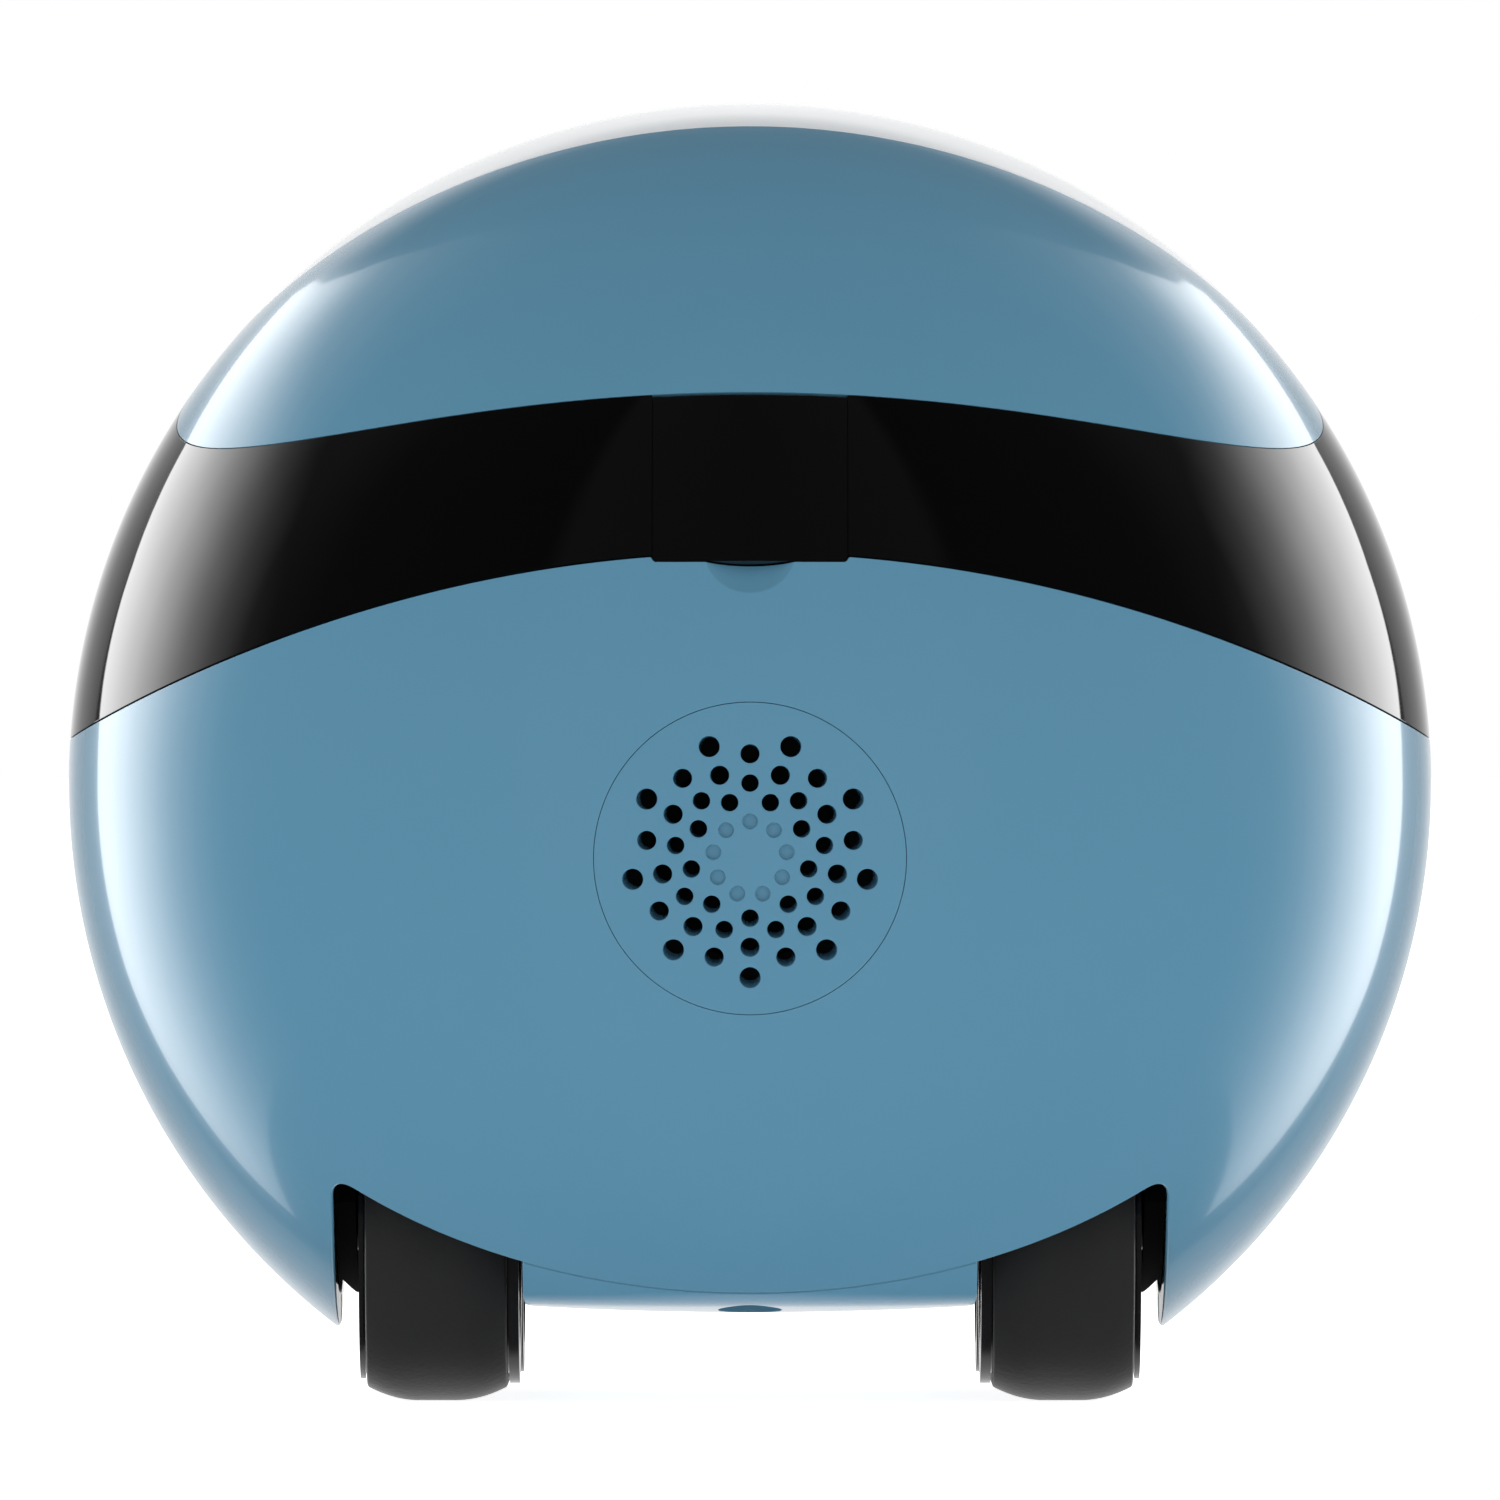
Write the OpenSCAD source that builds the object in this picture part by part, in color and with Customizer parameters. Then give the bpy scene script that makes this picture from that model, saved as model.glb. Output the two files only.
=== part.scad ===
// Small companion and coding robot: a ball body of snap-together shells that
// stands on two short rubber tracks. Millimetres, +Z up, the camera face looks
// along -Y and the loudspeaker along +Y. The origin is on the floor, under the
// middle of the ball.

/* [Ball] */
// Radius of the ball body
ball_r = 48; // [47.5:0.1:48.5]
// Height of the ball's centre above the floor
ball_z = 43; // [42.5:0.1:43.5]
// Wall thickness of the shells
skin_t = 1.8; // [1.6:0.1:2]
// Width of the seams between the shells
seam = 0.2; // [0.1:0.05:0.3]

/* [Band] */
// Radius of the arc along the band's lower edge, behind the middle
low_edge_r = 88.8; // [86:0.1:92]
// Height of the band's lower edge at the sides of the ball
low_edge_z = 46.3; // [46:0.1:47]
// Radius of the arc along the visor's lower edge, in front of the middle
chin_edge_r = 141; // [130:1:150]
// Place in the side view of the arc along the band's upper edge
cap_edge_at = [20.95, 117.75];
// Radius of that arc
cap_edge_r = 51.4; // [51.2:0.1:51.6]
// Radius of the arc along the visor's upper edge, which runs on from it
brow_edge_r = 50; // [48:0.5:56]
// Where along Y the arc between the blue cap and the forehead has its middle
crown_edge_y = -24; // [-25:0.5:-23]
// Radius of that arc
crown_edge_r = 43; // [42.5:0.1:43.5]
// Where the front and rear shells meet, along Y
split_y = -2.64; // [-2.8:0.02:-2.4]

/* [Speaker grille] */
// Height of the grille's centre
grille_z = 38; // [37:0.5:39]
// Radius of the round grille insert
grille_r = 10.66; // [10.2:0.02:11]
// Sound holes in each ring
grille_spokes = 9; // [6:1:9]

/* [Port door] */
// Half width of the door in the rear band
door_half = 6.6; // [6.4:0.1:6.8]
// Height of the door's lower lip
door_lip_z = 58.3; // [58.2:0.1:58.4]
// Tilt of the sockets behind the door, in degrees
port_tilt = 27; // [26:1:28]

/* [Underside] */
// Radius, in the plan view, of the arcs that bound the wheel slots
slot_arc_r = 77.1; // [76.5:0.1:77.5]
// Largest reach of those arcs, front and rear
slot_reach = 32.8; // [32.6:0.1:33]
// Outer wall of the wheel slots
slot_out = 29; // [28.9:0.1:29.1]
// Half width of the base plate
base_half = 15.7; // [15.5:0.1:15.7]
// Height of the base plate's lowest line
base_z = 6.6; // [6.4:0.1:6.8]

/* [Tracks] */
// Radius of the track's round ends
track_r = 11.4; // [11.3:0.1:11.5]
// Half of the distance between the two wheels of a track
track_half = 12.6; // [12.4:0.1:12.8]
// Inner edge of the rubber belt
belt_in = 16.9; // [16.9:0.05:17]
// Outer edge of the rubber belt
belt_out = 26.7; // [26.6:0.05:26.7]
// Thickness of the belt
belt_t = 1.6; // [1.4:0.1:1.8]
// How much lower the middle of the tread stands than its edges
belt_crown = 1; // [0.6:0.1:1]

/* [Gears] */
// Teeth inside the drive wheel
ring_teeth = 30; // [30:1:30]
// Teeth of the small half of the stepped gear
small_teeth = 12; // [12:1:12]
// Teeth of the large half of the stepped gear
large_teeth = 28; // [28:1:28]
// Teeth of the motor pinion
pinion_teeth = 10; // [10:1:10]
// Tooth size of the pair in the wheel
wheel_module = 0.5; // [0.5:0.1:0.5]
// Tooth size of the pair at the motor
motor_module = 0.4; // [0.4:0.1:0.4]

/* [Camera] */
// Height of the camera's axis
camera_z = 58; // [57:0.5:59]
// Radius of the lens ring
lens_ring_r = 6; // [5.8:0.1:6.2]

/* [Hidden] */

$fn = 96;
wide = 200;                                   // longer than anything it cuts
half_seam = seam / 2;

// The band's edges run smoothly into the visor's at the split, where the arc under
// the cap also meets the arc between the cap and the forehead.
low_edge_at = [0, low_edge_z + low_edge_r];
low_meet = [split_y, low_edge_at[1] - sqrt(pow(low_edge_r, 2) - pow(split_y, 2))];
chin_edge_at = low_meet + chin_edge_r / low_edge_r * (low_meet - low_edge_at);
cap_meet = [split_y, cap_edge_at[1] - sqrt(pow(cap_edge_r, 2) - pow(split_y - cap_edge_at[0], 2))];
brow_edge_at = cap_meet + brow_edge_r / cap_edge_r * (cap_meet - cap_edge_at);
crown_edge_at = [crown_edge_y,
                 cap_meet[1] + sqrt(pow(crown_edge_r, 2) - pow(split_y - crown_edge_y, 2))];

inner_r = ball_r - skin_t;
space_r = inner_r - 0.5;                      // what the parts inside may fill

// colours
blue = [0.34, 0.54, 0.65];
white = [0.90, 0.91, 0.93];
black = [0.05, 0.05, 0.06];
charcoal = [0.13, 0.13, 0.14];
steel = [0.72, 0.73, 0.75];
brass = [0.80, 0.65, 0.30];
green = [0.05, 0.30, 0.16];
ivory = [0.92, 0.90, 0.82];

// wheels, gears and the motor, in the side view (y, z)
wheel_z = track_r;
drive_at = [track_half, wheel_z];
idler_at = [-track_half, wheel_z];
pressure_angle = 25;
gear_slack = 0.07;                            // half of the play between teeth
stub = 0.8;                                   // tooth height above the pitch line
root = 1.05;                                  // and below it, in modules
wheel_pair_gap = (ring_teeth - small_teeth) * wheel_module / 2;
motor_pair_gap = (large_teeth + pinion_teeth) * motor_module / 2;
to_stepped = 130;                             // direction, wheel to stepped gear
to_motor = 190;                               // direction, stepped gear to motor
stepped_at = drive_at + wheel_pair_gap * [cos(to_stepped), sin(to_stepped)];
motor_at = stepped_at + motor_pair_gap * [cos(to_motor), sin(to_motor)];

drum_r = track_r - belt_t - 0.3;
belt_mid = (belt_in + belt_out) / 2;
flange_gap = 0.15;
flange_in = 16.05;
flange_out = 27.15;
axle_r = 0.9;
axle_fit = 0.04;
wall_in = 14.3;                               // inner wall of a wheel well
wall_out = 15.6;
deck_z = 25.6;
deck_t = 1.6;
deck_top = deck_z + deck_t;
guard_in = 27.4;
guard_out = 28.8;

boss_at = [33, 18];                           // shell screws, plan view
base_screw_at = [11.6, 22.5];
board_z = 30.6;
board_t = 1.2;
board_half = [24, 20];
button_y = 29.1;
button_hole_r = 2.3;
button_seat_z = base_z + 3;
switch_board_z = 14;

// ---------------------------------------------------------------- helpers

// Stands a side-view outline (y, z) up and stretches it from x0 to x1.
module across(x0, x1) {
    translate([x0, 0, 0]) rotate([90, 0, 90]) linear_extrude(x1 - x0) children();
}

// A round bar along X at a place in the side view.
module rod(at, r, x0, x1) {
    translate([x0, at[0], at[1]]) rotate([0, 90, 0]) cylinder(r = r, h = x1 - x0);
}

// A round bar along Y from y0 to y1.
module shaft_y(x, z, r, y0, y1) {
    translate([x, y1, z]) rotate([90, 0, 0]) cylinder(r = r, h = y1 - y0);
}

module block(low, high) {
    translate(low) cube(high - low);
}

// The seam line of the round surface lies on the side that turn points to, away
// from the shell that is cut from it.
module ball(r, turn = -90) {
    translate([0, 0, ball_z]) rotate(turn) sphere(r, $fn = 240);
}

module skin(turn = -90) {
    difference() {
        ball(ball_r, turn);
        ball(inner_r, turn);
    }
}

module mirrored() {
    mirror([1, 0, 0]) children();
}

module four(at) {
    for (x = [-at[0], at[0]], y = [-at[1], at[1]]) translate([x, y, 0]) children();
}

// Round bars right through the ball, whose surfaces trace the edges of the shells.
module edge_bar(at, r) {
    rod(at, r, -wide / 2, wide / 2);
}

module behind_split() {
    block([-60, split_y + half_seam, -10], [60, 60, 110]);
}

module before_split() {
    block([-60, -60, -10], [60, split_y - half_seam, 110]);
}

// ------------------------------------------------------- the wheel opening

// Plan view of the opening in the ball's underside: two shallow arcs and two
// straight walls, with rounded corners.
module slot_plan(gap) {
    corner_r = 1.6;
    arc_r = slot_arc_r - gap;
    side = slot_out - gap;
    arc_y = slot_reach - slot_arc_r;
    corner = [side - corner_r,
              arc_y + sqrt(pow(arc_r - corner_r, 2) - pow(side - corner_r, 2))];
    for (turn = [0, 180]) rotate(turn) {
        intersection() {
            translate([0, arc_y]) circle(arc_r, $fn = 360);
            polygon([
                [0, 0],
                [2 * corner[0], 2 * (corner[1] - arc_y) + arc_y],
                [-2 * corner[0], 2 * (corner[1] - arc_y) + arc_y]
            ]);
            translate([-wide / 2, 0]) square(wide);
        }
        for (x = [-corner[0], corner[0]]) translate([x, corner[1]]) circle(corner_r);
    }
    square([2 * corner[0], 2 * corner[1]], center = true);
    square([2 * side, 2 * corner[1]], center = true);
}

// ------------------------------------------------------------------ shells

module shell_boss(y_side) {
    for (x = [-boss_at[0], boss_at[0]]) intersection() {
        translate([x, y_side * boss_at[1], 14]) cylinder(r = 2.8, h = deck_z - 14.1);
        ball(ball_r - 0.6);
    }
}

module boss_bores(y_side) {
    for (x = [-boss_at[0], boss_at[0]]) {
        translate([x, y_side * boss_at[1], 19]) cylinder(r = 1.04, h = 10);
    }
}

// What both lower shells lose: the wheel opening and the bores of their screws.
module lower_cuts(y_side) {
    translate([0, 0, -10]) linear_extrude(29) slot_plan(0);
    boss_bores(y_side);
}

module front_shell() {
    color(white) difference() {
        union() {
            intersection() {
                skin(90);
                before_split();
                edge_bar(chin_edge_at, chin_edge_r - half_seam);
            }
            shell_boss(-1);
        }
        lower_cuts(-1);
    }
}

// The thumb scoop is a shallow bite of a small sphere under the door's lip.
module thumb_scoop() {
    scoop_r = 6;
    scoop_z = 59.15 - ball_z;
    bite = 4.99;
    lean = asin(scoop_z / ball_r);
    translate([0, 0, ball_z]) rotate([lean, 0, 0]) translate([0, ball_r + bite, 0]) sphere(scoop_r);
}

module door_notch() {
    lip = door_lip_z - half_seam;
    cham = 0.3;
    translate([0, 55, 0]) rotate([90, 0, 0]) linear_extrude(20) polygon([
        [-door_half - half_seam, lip], [door_half + half_seam, lip],
        [door_half + half_seam + cham, lip + 0.5], [door_half + half_seam + cham, lip + 4],
        [-door_half - half_seam - cham, lip + 4], [-door_half - half_seam - cham, lip + 0.5]
    ]);
}

module rear_shell() {
    color(blue) difference() {
        union() {
            difference() {
                intersection() {
                    skin(-90);
                    behind_split();
                }
                edge_bar(low_edge_at, low_edge_r + half_seam);
            }
            shell_boss(1);
        }
        lower_cuts(1);
        shaft_y(0, grille_z, grille_r + 0.07, 30, 60);
        door_notch();
        thumb_scoop();
    }
}

module forehead_cover() {
    color(white) difference() {
        intersection() {
            skin(90);
            edge_bar(crown_edge_at, crown_edge_r - half_seam);
        }
        edge_bar(brow_edge_at, brow_edge_r + half_seam);
    }
}

module top_cover() {
    color(blue) difference() {
        intersection() {
            skin(-90);
            edge_bar(cap_edge_at, cap_edge_r - half_seam);
        }
        edge_bar(crown_edge_at, crown_edge_r + half_seam);
    }
}

// A bridge behind the door joins the two ends of the band and frames the ports.
module port_bridge() {
    bridge_half = door_half + 2.4;
    difference() {
        intersection() {
            ball(inner_r + 0.1);
            block([-bridge_half, 20, door_lip_z + 1], [bridge_half, 60, 69.2]);
        }
        ball(inner_r - 2.2);
    }
}

module port_frame() {
    translate([0, 0, ball_z]) rotate([port_tilt, 0, 0]) children();
}

usb_size = [8.9, 7.4, 3.2];
usb_base = 1.1;
card_size = [12, 12, 1.5];
card_base = -1.6;

module port_openings() {
    port_frame() {
        block([-usb_size[0] / 2 - 0.25, 35, usb_base - 0.2],
              [usb_size[0] / 2 + 0.25, 60, usb_base + usb_size[2] + 0.25]);
        block([-card_size[0] / 2 - 0.1, 35, card_base - 0.2],
              [card_size[0] / 2 + 0.1, 60, card_base + card_size[2] + 0.05]);
    }
}

module rear_band() {
    color(black) difference() {
        union() {
            difference() {
                intersection() {
                    skin(-90);
                    behind_split();
                    edge_bar(low_edge_at, low_edge_r - half_seam);
                }
                edge_bar(cap_edge_at, cap_edge_r + half_seam);
            }
            port_bridge();
        }
        difference() {
            block([-door_half - half_seam, 20, door_lip_z - 1],
                  [door_half + half_seam, 60, 90]);
            ball(inner_r - 0.4);
        }
        port_openings();
    }
}

module face_visor() {
    color(black) difference() {
        intersection() {
            skin(90);
            before_split();
            edge_bar(brow_edge_at, brow_edge_r - half_seam);
        }
        edge_bar(chin_edge_at, chin_edge_r + half_seam);
        camera_frame() {
            shaft_y(0, 0, lens_ring_r + 0.08, -60, -30);
            led_places() shaft_y(0, 0, 1.7, -60, -30);
            shaft_y(0, microphone_up, 0.5, -60, -30);
        }
        status_shape(0.08, -60, -30);
    }
}

module base_underside() {
    crown_r = 260;
    translate([0, 0, base_z + crown_r]) rotate([90, 0, 0])
        cylinder(r = crown_r, h = wide, center = true, $fn = 720);
}

module base_plate() {
    color(blue) difference() {
        union() {
            difference() {
                intersection() {
                    ball(ball_r);
                    base_underside();
                    translate([0, 0, -1]) linear_extrude(20) intersection() {
                        slot_plan(half_seam);
                        square([2 * base_half, wide], center = true);
                    }
                }
                intersection() {
                    ball(inner_r);
                    block([-wide, -wide, base_z + skin_t], [wide, wide, 40]);
                }
            }
            intersection() {
                ball(ball_r - 0.3);
                translate([0, button_y, base_z + 1]) cylinder(r = 3.4, h = button_seat_z - base_z - 1);
            }
        }
        four(base_screw_at) {
            cylinder(r = 1.05, h = 12);
            cylinder(r = 2, h = base_z + 1.05);
        }
        translate([0, button_y, 0]) cylinder(r = button_hole_r, h = 12);
    }
}

// ----------------------------------------------------------------- speaker

// Rings of the grille: radius, hole size and the first hole's direction.
grille_rings = [
    [4.06, 1.18, 70], [5.15, 1.18, 90], [6.05, 1.29, 70], [7.15, 1.29, 90], [8.13, 1.42, 70]
];
dimple_ring = [2.54, 1.0, 90];
speaker_r = 11.2;

module grille_ring(ring, y0) {
    for (i = [0:grille_spokes - 1]) {
        a = ring[2] + i * 360 / grille_spokes;
        shaft_y(ring[0] * cos(a), grille_z + ring[0] * sin(a), ring[1] / 2, y0, 60);
    }
}

module speaker_grille() {
    color(blue) difference() {
        intersection() {
            skin();
            shaft_y(0, grille_z, grille_r - 0.03, 30, 60);
        }
        for (ring = grille_rings) grille_ring(ring, 30);
        grille_ring(dimple_ring, ball_r - 1);
    }
}

module speaker_gasket() {
    color(charcoal) intersection() {
        ball(inner_r - 0.05);
        difference() {
            shaft_y(0, grille_z, 11.8, 41.2, 50);
            shaft_y(0, grille_z, 9.6, 41, 51);
        }
    }
}

module speaker_frame() {
    color(charcoal) difference() {
        union() {
            shaft_y(0, grille_z, speaker_r, 39.6, 41.2);
            shaft_y(0, grille_z, 8.4, 36, 39.6);
        }
        shaft_y(0, grille_z, 9.2, 39.9, 42);
        shaft_y(0, grille_z, 7.4, 37, 42);
        shaft_y(0, grille_z, 5.1, 35, 42);
    }
}

// A shallow cone with a dust cap; its rim rests on the frame.
module speaker_cone() {
    color(black) translate([0, 39.9, grille_z]) rotate([-90, 0, 0]) rotate_extrude()
        polygon([[0, -1.6], [2.2, -2.2], [7, -0.1], [7.1, 0], [9.1, 0], [9.1, 0.5], [6.9, 0.5],
                 [2.4, -1.4], [0, -0.4]]);
}

module speaker_magnet() {
    color(steel) {
        shaft_y(0, grille_z, 5, 33.4, 37);
        shaft_y(0, grille_z, 6.2, 32.2, 33.4);
    }
}

// --------------------------------------------------------- port door, ports

module port_door() {
    lip = door_lip_z;
    color(black) difference() {
        intersection() {
            ball(ball_r);
            translate([0, 55, 0]) rotate([90, 0, 0]) linear_extrude(25) polygon([
                [-door_half + 0.05, lip], [door_half - 0.05, lip],
                [door_half - 0.05, 80], [-door_half + 0.05, 80]
            ]);
        }
        ball(ball_r - 1.6);
        edge_bar(cap_edge_at, cap_edge_r + seam);
    }
}

module port_board() {
    color(green) port_frame() block([-7.5, 30, 0], [7.5, 42.8, 1]);
}

module usb_port() {
    mouth = [usb_size[0] - 0.7, 6.4, usb_size[2] - 0.7];
    color(steel) port_frame() translate([0, 44.6 - usb_size[1], usb_base + usb_size[2] / 2])
        difference() {
            rounded_bar(usb_size, 1.55);
            translate([0, 1.1, 0]) rounded_bar(mouth, 1.24);
        }
}

// A bar along Y with full round sides.
module rounded_bar(size, r) {
    flat = size[0] - 2 * r;
    translate([0, size[1], 0]) rotate([90, 0, 0]) linear_extrude(size[1]) {
        for (x = [-flat / 2, flat / 2]) translate([x, 0]) circle(r);
        square([flat, 2 * r], center = true);
    }
}

module card_slot() {
    color(steel) port_frame() difference() {
        block([-card_size[0] / 2, 44.8 - card_size[1], card_base],
              [card_size[0] / 2, 44.8, card_base + card_size[2]]);
        block([-card_size[0] / 2 + 0.4, 34, card_base + 0.35],
              [card_size[0] / 2 - 0.4, 45, card_base + card_size[2] - 0.25]);
    }
}

// ------------------------------------------------------------------- camera

// The camera looks out along the ball's radius; its own frame has the ball's centre
// as origin and -Y as the line of sight.
camera_lean = asin((camera_z - ball_z) / ball_r);
lens_face = ball_r - 0.25;
board_front = 34.6;
board_back = 33.4;
microphone_up = 15.6;

module camera_frame() {
    translate([0, 0, ball_z]) rotate([-camera_lean, 0, 0]) children();
}

module lens_ring() {
    color(black) camera_frame() difference() {
        shaft_y(0, 0, lens_ring_r, -lens_face, -lens_face + 3.4);
        shaft_y(0, 0, 4.3, -60, -30);
        translate([0, -lens_face - 0.1, 0]) rotate([-90, 0, 0]) cylinder(r1 = 5.5, r2 = 4.3, h = 1.4);
    }
}

module camera_lens() {
    dome_r = 7;
    color([0.10, 0.12, 0.20]) camera_frame() intersection() {
        translate([0, -lens_face + 0.5 + dome_r, 0]) sphere(dome_r);
        shaft_y(0, 0, 4.25, -lens_face, -lens_face + 2.8);
    }
}

module camera_barrel() {
    color(black) camera_frame() difference() {
        union() {
            shaft_y(0, 0, 4.2, -lens_face + 2.85, -board_front - 0.02);
            block([-5.5, -38, -5.5], [5.5, -board_front - 0.02, 5.5]);
        }
        shaft_y(0, 0, 3, -60, -38);
    }
}

module camera_board() {
    color(green) camera_frame() block([-14, -board_front, -8], [14, -board_back, 8]);
}

module led_places() {
    for (x = [-11.5, 11.5], z = [-4, 4]) translate([x, 0, z]) children();
}

module infrared_leds() {
    tip = 46.1;
    color([0.20, 0.05, 0.08]) camera_frame() led_places() {
        shaft_y(0, 0, 1.5, -tip + 1.5, -board_front - 0.02);
        translate([0, -tip + 1.5, 0]) sphere(1.5);
    }
}

module status_shape(gap, y0, y1) {
    z = 47;
    for (x = [-2.2, 2.2]) shaft_y(x, z, 0.7 + gap, y0, y1);
    block([-2.2, y0, z - 0.7 - gap], [2.2, y1, z + 0.7 + gap]);
}

module status_light() {
    color(ivory) intersection() {
        status_shape(0, -60, -44.4);
        ball(ball_r);
    }
}

module microphone() {
    color(steel) camera_frame() block([-1.9, -board_front, microphone_up - 1.5],
                                      [1.9, -board_back, microphone_up + 1.5]);
}

// A plate behind the visor that carries the camera, standing on two feet.
module head_frame() {
    plate_back = board_back - 1.4;
    plate_half = 14;
    leg_y = -36.5;
    color(charcoal) {
        camera_frame() {
            block([-20, -board_back + 0.02, -plate_half], [20, -plate_back, plate_half]);
            block([-5, -board_back + 0.02, plate_half - 1], [5, -plate_back, microphone_up + 3]);
        }
        for (x = [-19, 15]) {
            block([x, leg_y, deck_top], [x + 4, leg_y + 2.2, 41.2]);
            block([x, leg_y, deck_top], [x + 4, leg_y + 8, deck_top + 1.6]);
        }
    }
}

// -------------------------------------------------------------- power parts

module power_button() {
    color(blue) translate([0, button_y, 0]) {
        translate([0, 0, base_z + 0.7]) cylinder(r = button_hole_r - 0.08, h = 2.5);
        translate([0, 0, button_seat_z + 0.1]) cylinder(r = 2.6, h = 0.7);
        translate([0, 0, button_seat_z + 0.8]) cylinder(r = 1.2, h = 0.6);
    }
}

module power_switch() {
    color(steel) {
        block([-2.6, button_y - 2.6, 12.2], [2.6, button_y + 1.4, switch_board_z - 0.02]);
        translate([0, button_y, 11.9]) cylinder(r = 1, h = 0.4);
    }
}

module switch_board() {
    color(green) difference() {
        block([-14.2, 23.4, switch_board_z], [14.2, 30.6, switch_board_z + 1]);
        four(base_screw_at) cylinder(r = 2.9, h = 30);
    }
}

battery_low = [-12.5, -19.8, base_z + skin_t + 0.1];
battery_high = [12.5, -6.8, 20.4];

module battery_pack() {
    color([0.25, 0.45, 0.70]) block(battery_low, battery_high);
}

module battery_strap() {
    t = 0.8;
    mid = (battery_low[1] + battery_high[1]) / 2;
    color(charcoal) {
        block([-14.2, mid - 3, battery_high[2] + 0.1], [14.2, mid + 3, battery_high[2] + t]);
        for (x = [-14.2, battery_high[0] + 0.1])
            block([x, mid - 3, 13], [x + 14.1 - battery_high[0], mid + 3, battery_high[2] + t]);
    }
}

// ------------------------------------------------------------------- boards

module main_board() {
    color(green) difference() {
        block([-board_half[0], -board_half[1], board_z],
              [board_half[0], board_half[1], board_z + board_t]);
        four(board_half - [3, 3]) cylinder(r = 1.1, h = 60);
    }
}

module board_chips() {
    top = board_z + board_t;
    color(steel) {
        block([-14, -12, top], [4, 4, top + 2.2]);
        block([8, -8, top], [16, 0, top + 1]);
        block([-10, 8, top], [-3, 13, top + 1]);
        block([9, 6, top], [13, 10, top + 0.9]);
    }
}

module board_sockets() {
    top = board_z + board_t;
    color(ivory) for (x = [-18.5, -9.5, -0.5, 8.5]) difference() {
        block([x, 14.4, top], [x + 6, 19, top + 3.4]);
        block([x + 0.6, 15.2, top + 1], [x + 5.4, 19.5, top + 2.8]);
    }
}

module screw(head_r, head_h, body_r, length) {
    difference() {
        union() {
            cylinder(r = head_r, h = head_h);
            translate([0, 0, -length]) cylinder(r = body_r, h = length);
        }
        for (turn = [0, 90]) rotate(turn) translate([-0.75 * head_r, -0.25, head_h * 0.45])
            cube([1.5 * head_r, 0.5, head_h]);
    }
}

module board_screws() {
    color(steel) four(board_half - [3, 3]) translate([0, 0, board_z + board_t])
        screw(1.9, 1.1, 1, 3.6);
}

module shell_screws() {
    color(steel) four(boss_at) translate([0, 0, deck_top]) screw(2.1, 1.4, 1, 7.4);
}

module base_screws() {
    color(steel) four(base_screw_at) translate([0, 0, base_z + 1.05]) rotate([180, 0, 0])
        screw(1.8, 0.75, 1, 4.4);
}

// ------------------------------------------------------------------ chassis

module fender(y_side) {
    arch_r = track_r + 2.4;
    intersection() {
        across(wall_out - 0.1, guard_in) difference() {
            translate([y_side * track_half, wheel_z]) circle(arch_r);
            translate([y_side * track_half, wheel_z]) circle(arch_r - 1);
        }
        block([0, y_side > 0 ? track_half : -40, 15], [40, y_side > 0 ? 40 : -track_half, 40]);
    }
}

module well_wall() {
    difference() {
        union() {
            block([wall_in, -27, base_z + skin_t + 0.1], [wall_out, 27, deck_z + 0.1]);
            fender(1);
            fender(-1);
        }
        rod(drive_at, axle_r + 0.02, 10, 20);
        rod(idler_at, axle_r + 0.02, 10, 20);
        rod(stepped_at, 4, 10, 20);
    }
}

module chassis() {
    color(charcoal) difference() {
        union() {
            intersection() {
                ball(space_r);
                union() {
                    translate([0, 0, deck_z]) cylinder(r = 41, h = deck_t);
                    well_wall();
                    mirrored() well_wall();
                }
            }
            four(board_half - [3, 3]) translate([0, 0, deck_top - 0.1])
                cylinder(r = 2.4, h = board_z - deck_top + 0.1);
            intersection() {
                ball(space_r);
                four(base_screw_at) union() {
                    translate([0, 0, base_z + skin_t + 0.1]) cylinder(r = 2.5, h = 4);
                    translate([-2.8, -1.5, base_z + skin_t + 0.1]) cube([5.6, 3, 4]);
                }
            }
        }
        four(boss_at) cylinder(r = 1.06, h = 60);
        four(board_half - [3, 3]) cylinder(r = 1.04, h = 60);
        four(base_screw_at) cylinder(r = 1.04, h = 15);
        block([-4, -4, deck_z - 1], [4, 4, deck_top + 1]);
        shaft_y(0, grille_z, speaker_r + 0.4, 39.2, 50);
    }
}

// ------------------------------------------------------------------- tracks

// Cross-section of the belt: x along the axle, y outwards from the wheel.
module belt_section() {
    half = (belt_out - belt_in) / 2;
    flat = 2.5;
    steps = 8;
    lip = 0.15;
    fall = belt_crown - lip;
    crown = [for (i = [0:steps]) let (u = i / steps)
        [flat + (half - flat) * u, -fall * pow(u, 1.8)]];
    translate([0, belt_t]) polygon(concat(
        [[-half, -belt_t], [half, -belt_t], [half, -belt_crown]],
        [for (i = [steps:-1:0]) crown[i]], [for (p = crown) [-p[0], p[1]]],
        [[-half, -belt_crown]]));
}

module belt() {
    inside = track_r - belt_t;
    color(charcoal) {
        for (turn = [0, 180]) translate([belt_mid, 0, wheel_z]) rotate([turn, 0, 0])
            translate([0, track_half, 0]) rotate([0, 90, 0]) rotate_extrude(angle = 180)
                translate([inside, 0]) rotate(-90) belt_section();
        for (turn = [0, 180]) translate([belt_mid, 0, wheel_z]) rotate([turn, 0, 0])
            translate([0, track_half, inside]) rotate([90, 0, 0])
                linear_extrude(2 * track_half) belt_section();
    }
}

module left_belt() { belt(); }
module right_belt() { mirrored() belt(); }

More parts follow.
